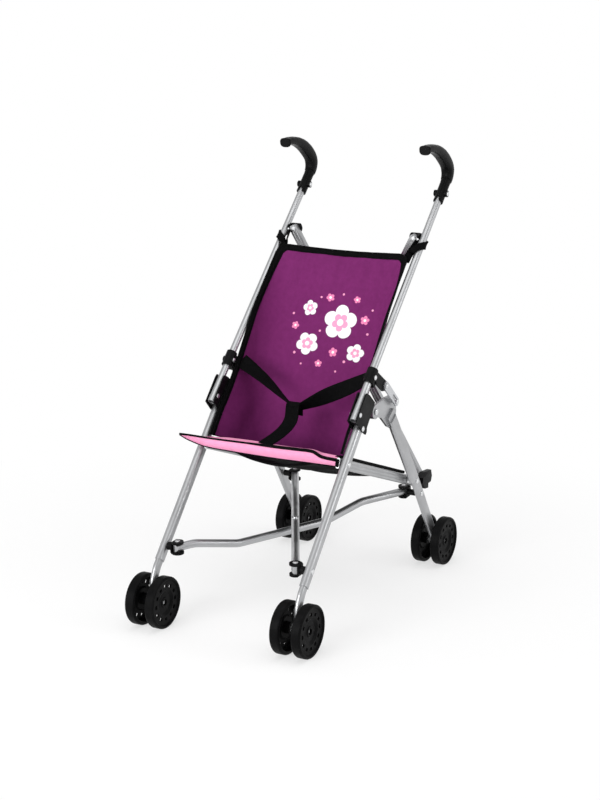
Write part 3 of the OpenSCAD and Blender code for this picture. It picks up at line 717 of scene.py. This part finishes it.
right_path = [(*side_edge(t), -1, 0) for t in side_path]
half_top = sling_base(0, 0)[1]
turn_path = [(half_top - corner_round * (1 - sin(a)), corner_round * (1 - cos(a)), -sin(a), cos(a))
             for a in (pi / 2 * i / 12 for i in range(12))]
top_path = [((half_top - corner_round) * (2 * i / 90 - 1), 0, 0, 1) for i in range(90)]
bound = ([(-s, d, -a, b) for s, d, a, b in reversed(right_path)]
         + [(-s, d, -a, b) for s, d, a, b in reversed(turn_path)] + top_path + turn_path
         + right_path)
binding = hem("sling_binding", sling_at, bound, 0.0082, 0.0026, black_tape)
mean_width = sum(2 * sling_base(0, i / 20)[1] for i in range(21)) / 21
print("sling is", round(mean_width, 3), "m wide on average")

# %% [markdown]
# ## Seat cloth
# A dark cloth lies on the two seat rails and sags between them. It is stretched nearly straight
# along the rails, and its sag is a parabola across. A hem runs round it.

# %% Seat cloth shape
rail_start, rail_angle = mm(0, 34.65, 199.2), radians(-20.06)
rail_way = Vector((0, cos(rail_angle), sin(rail_angle)))
rail_up = Vector((0, -sin(rail_angle), cos(rail_angle)))
seat_half, seat_long = 0.0915, 0.186


def seat_at(s, d):
    """The seat cloth s metres across from its middle and d metres back from its front edge."""
    sag = 0.02 * max(0, 1 - (s / 0.086) ** 2) * (1 - 0.25 * d / seat_long)
    sag += 0.0016 * max(0, 1 - (s / 0.07) ** 2) * sin(d * 95 + 0.8)
    ripple = 0.0006 * noise.noise(Vector((s * 26, d * 16, 1.7)))
    return (rail_start + rail_way * (0.003 + d) + rail_up * (0.0086 - sag + ripple)
            + Vector((s, 0, 0)))


def seat_cell(u, v):
    return (2 * u - 1) * seat_half, v * seat_long


bm = cloth_grid(60, 50, lambda u, v: seat_at(*seat_cell(u, v)), seat_cell)
seat = thicken(add_piece("seat_cloth", bm, black_cloth), 0.001)
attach(seat, "frame_left")
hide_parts("seat_panel")
for label, path, depth in (
        ("front", [((2 * i / 60 - 1) * seat_half, 0, 0, 1) for i in range(61)], 0.003),
        ("rear", [((2 * i / 60 - 1) * seat_half, seat_long, 0, -1) for i in range(61)], 0.003),
        ("left", [(-seat_half, i / 50 * seat_long, 1, 0) for i in range(51)], 0.0036),
        ("right", [(seat_half, i / 50 * seat_long, -1, 0) for i in range(51)], 0.0036)):
    hem(f"seat_{label}_hem", seat_at, path, 0.009, depth, black_tape)

# %% [markdown]
# ## Seat lip
# The pink lip is the front of the seat: a narrow ledge behind a black piping, and a flap that
# rolls over the piping and tapers to a point past the left leg. Two curves, the piping's and
# the flap's lower edge, carry the whole shape.

# %% Lip shape
piping_line = [mm(-113.6, 2.6, 216.6), mm(-104, 14, 213.2), mm(-84.6, 25.5, 209.2),
               mm(-60, 28.5, 208.6), mm(-40.4, 30, 208.5), mm(5.4, 32.5, 208.4),
               mm(35, 33.5, 208.9), mm(54.6, 34, 208.8), mm(67.9, 34, 203.8), mm(88.8, 34, 202.6)]
flap_line = [mm(-113.8, 2.4, 215.8), mm(-106, 11, 208), mm(-89.3, 23.4, 198.8), mm(-60, 27, 196.6),
             mm(-27.4, 29.4, 195.3), mm(9.2, 31.5, 194.6), mm(50, 33.3, 194.8), mm(88.8, 33.6, 195)]


def flap_spot(u, v):
    """u from the left tip to the right end, v from the piping to the lower edge."""
    top, low = along(piping_line, u), along(flap_line, u)
    p = top.lerp(low, v)
    roll = (top - low).length * 0.42 * sin(pi * min(v * 1.15, 1)) * min(1, 6 * u)
    return p + Vector((-0.1, -1, 0.12)).normalized() * roll * 0.55 + Vector((0, 0.0012 * v, 0))


def ledge_spot(u, v):
    """From the piping back to the sling's foot."""
    t = 0.05 + 0.95 * u
    front = along(piping_line, t)
    deep = 0.015 * ease(min(u * 4, 1)) - 0.006 * ease((t - 0.4) / 0.3)
    level = front.z + 0.0012 - 0.0016 * v + 0.0032 * v * ease((t - 0.84) / 0.08)
    return Vector((front.x, front.y + deep * v, level))


bm = cloth_grid(120, 14, flap_spot, lambda u, v: (v * 0.014, u * 0.21))
flap = thicken(add_piece("lip_flap", bm, pink_cloth), 0.0016, rim=0.0003)
bm = cloth_grid(110, 8, ledge_spot, lambda u, v: (v * 0.015, u * 0.2))
ledge = thicken(add_piece("lip_ledge", bm, pink_cloth), 0.0012)
for piece in (flap, ledge):
    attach(piece, "frame_left")
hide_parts("seat_lip")


def piping(name, line, radius, steps, lift=(0, 0, 0)):
    """A round cord in its tape, along line; radius(t) is its thickness for t from 0 to 1."""
    spots = [along(line, i / steps) + Vector(lift) for i in range(steps + 1)]
    walk, count, rows = walked(spots), 10, []
    for i, p in enumerate(spots):
        run = (spots[min(i + 1, steps)] - spots[max(i - 1, 0)]).normalized()
        out = run.cross(Vector((0, 0, 1))).normalized()
        up, thick = out.cross(run), radius(i / steps)
        rows.append([p + (out * cos(2 * pi * k / count) + up * sin(2 * pi * k / count)) * thick
                     for k in range(count)])
    piece = carry(name, steps, count, lambda i, k: rows[i][k],
                  lambda i, k: (2 * pi * radius(0) * k / count, walk[i]), black_tape)
    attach(piece, "frame_left")
    return piece


lip_piping = piping("lip_piping", piping_line,
                    lambda t: 0.0013 + 0.0008 * ease((t - 0.4) / 0.2), 120, (0, -0.0006, 0.0006))
flap_hem = piping("flap_hem", flap_line, lambda t: 0.0007, 120)

# %% [markdown]
# ## Straps
# The harness is two 20 mm straps that leave the side bindings and gather in a loop at the
# middle, and a crotch strap that runs from the loop down to the piping. A strap is a flat
# section carried along a smoothed line. It turns evenly about its own run on the way, which is
# what flat webbing does when it is pulled into a loop, and it is drawn in a little at the loop.


# %% Strap maker
def smooth_line(points, steps, passes=30):
    """Evenly spaced places along the points with the kinks rubbed out."""
    spots = [along(points, i / steps) for i in range(steps + 1)]
    for _ in range(passes):
        spots = ([spots[0]] + [(a + 2 * b + c) / 4 for a, b, c in zip(spots, spots[1:], spots[2:])]
                 + [spots[-1]])
    return spots


def strap(name, line, width, way, depth=0.0013, steps=48, body="frame_left", passes=30):
    """A webbing strap along line. width(t) is its width in metres and way(t) the direction that
    it is wide in, both for t from 0 to 1; way is squared up with the run at every step."""
    spots = smooth_line(line, steps, passes)
    walk, ring = walked(spots), strap_ring(0.02, depth)
    rows, length = [], len(ring)
    for i, p in enumerate(spots):
        run = (spots[min(i + 1, steps)] - spots[max(i - 1, 0)]).normalized()
        out = way(i / steps)
        out = (out - run * out.dot(run)).normalized()
        face, share = run.cross(out), width(i / steps) / 0.02
        rows.append([p + out * (a * share) + face * b for a, b in ring])
    piece = carry(name, steps, length, lambda i, k: rows[i][k],
                  lambda i, k: (ring[k % length][0] + 0.01, walk[i]), black_webbing)
    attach(piece, body)
    return piece


def turning(run, start, stop, hurry=1.0):
    """A width direction that turns evenly about run from start to stop."""
    run = run.normalized()
    a = (start - run * start.dot(run)).normalized()
    b = (stop - run * stop.dot(run)).normalized()
    total = math.atan2(run.dot(a.cross(b)), a.dot(b))
    return lambda t: Matrix.Rotation(total * t ** hurry, 3, run) @ a


# %% Harness
up_tube = Vector((0, 0.7, 0.7))
left_line = [mm(-90, 113, 290), mm(-70, 109, 280.5), mm(-46, 99.5, 271), mm(-20, 89, 258),
             mm(4, 82, 246)]
right_line = [mm(90, 104, 288), mm(66, 103.5, 275), mm(44, 99, 264.5), mm(20, 89, 252.5),
              mm(2, 82, 244)]


def gathered(t):
    """The harness strap's width: full from the binding, and drawn in where the loop holds it."""
    return 0.0195 - 0.005 * ease((t - 0.55) / 0.45)


left_strap = strap("left_harness", left_line, gathered,
                   turning(left_line[-1] - left_line[0], up_tube,
                           Vector((-0.46, 0.85, -0.24)), 0.85))
right_strap = strap("right_harness", right_line, gathered,
                    turning(right_line[-1] - right_line[0], up_tube,
                            Vector((0.3, -0.75, 0.6)), 1.1))
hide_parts("harness_l")
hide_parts("harness_r")
across = Vector((1, 0, 0))
crotch = strap("crotch_strap_band",
               [mm(2, 89, 236), mm(2.4, 88.5, 247), mm(2.8, 84, 254), mm(3, 78.6, 251.5),
                mm(3.2, 76.4, 244), mm(3, 74.6, 234), mm(0.5, 67, 225), mm(-4, 54, 217.5),
                mm(-10, 41, 211.8), mm(-13.5, 33.5, 208.6)],
               lambda t: 0.0185, lambda t: across, 0.0017, 80, passes=14)
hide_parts("crotch_strap")
# a short tab goes round the front of the right rail's end, 7.1 mm from its pin
strap("lip_corner_tab",
      [mm(90.6, 34.6 - 7.1 * cos(a), 199.2 + 7.1 * sin(a))
       for a in (radians(100 - 20 * i) for i in range(10))],
      lambda t: 0.0042, lambda t: across, 0.0012, 24, passes=1)
strap("harness_keeper", [mm(-5, 80.5, 247.4), mm(2, 80.2, 246.8), mm(10, 81, 246.4)],
      lambda t: 0.012, lambda t: Vector((0, -0.4, 0.9)), 0.005, 12)

# %% [markdown]
# ## Corner loops
# At each top corner a strap goes up from the sling across the front of the handle tube, round
# its outer side, passes behind it higher up and comes back down on the inner side, so the two
# legs make a V. The path is drawn round the tube's axis: out from it, forward and along.

# %% Corner loops
tube_way = Vector((0, sin(radians(45)), cos(radians(45))))
tube_front = Vector((0, -cos(radians(45)), sin(radians(45))))
for side, label in ((-1, "left"), (1, "right")):
    foot = Vector((side * 0.099, *mm(0, 53.3, 248.4)[1:]))

    def by_tube(out, front, along_tube):
        return (foot + Vector((side * out / 1000, 0, 0)) + tube_front * (front / 1000)
                + tube_way * (along_tube / 1000))

    path = [by_tube(*p) for p in (
        (-10.5, 3.5, 232), (-9.3, 4.6, 240), (-5.6, 5.9, 249), (-0.5, 6.2, 254.5),
        (4.2, 4.5, 258), (6.2, 0, 262), (4.5, -4.3, 266), (0, -6.1, 270), (-4.4, -5.3, 272),
        (-7, -2.4, 268), (-8.6, 0.6, 256), (-9.6, 2.6, 244), (-10.3, 3.1, 232))]

    def wide(t):
        """Along the tube's skin where the strap lies on it, and across the cloth at its ends."""
        end = ease((0.24 - min(t, 1 - t)) / 0.24)
        outward = side * (1 if t < 0.5 else -1)
        return tube_way * (1 - 0.8 * end) + Vector((outward * 0.8 * end, 0, 0))

    loop = strap(f"{label}_corner_loop", path, lambda t: 0.0098, wide, 0.0012, 90,
                 f"frame_{label}", 6)
    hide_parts(f"strap_loop_{label[0]}")

# %% [markdown]
# ## Soft pieces
# When the frame folds, the two sides come together and the cloth crumples between them. Each
# soft piece that is not a corner loop is given a mesh of its own.

# %% Give the soft pieces their own meshes
soft_pieces = [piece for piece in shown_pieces()
               if piece.name not in nodes and not piece.name.endswith("loop")]
for piece in soft_pieces:
    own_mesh(piece)
print("soft pieces:", len(soft_pieces))
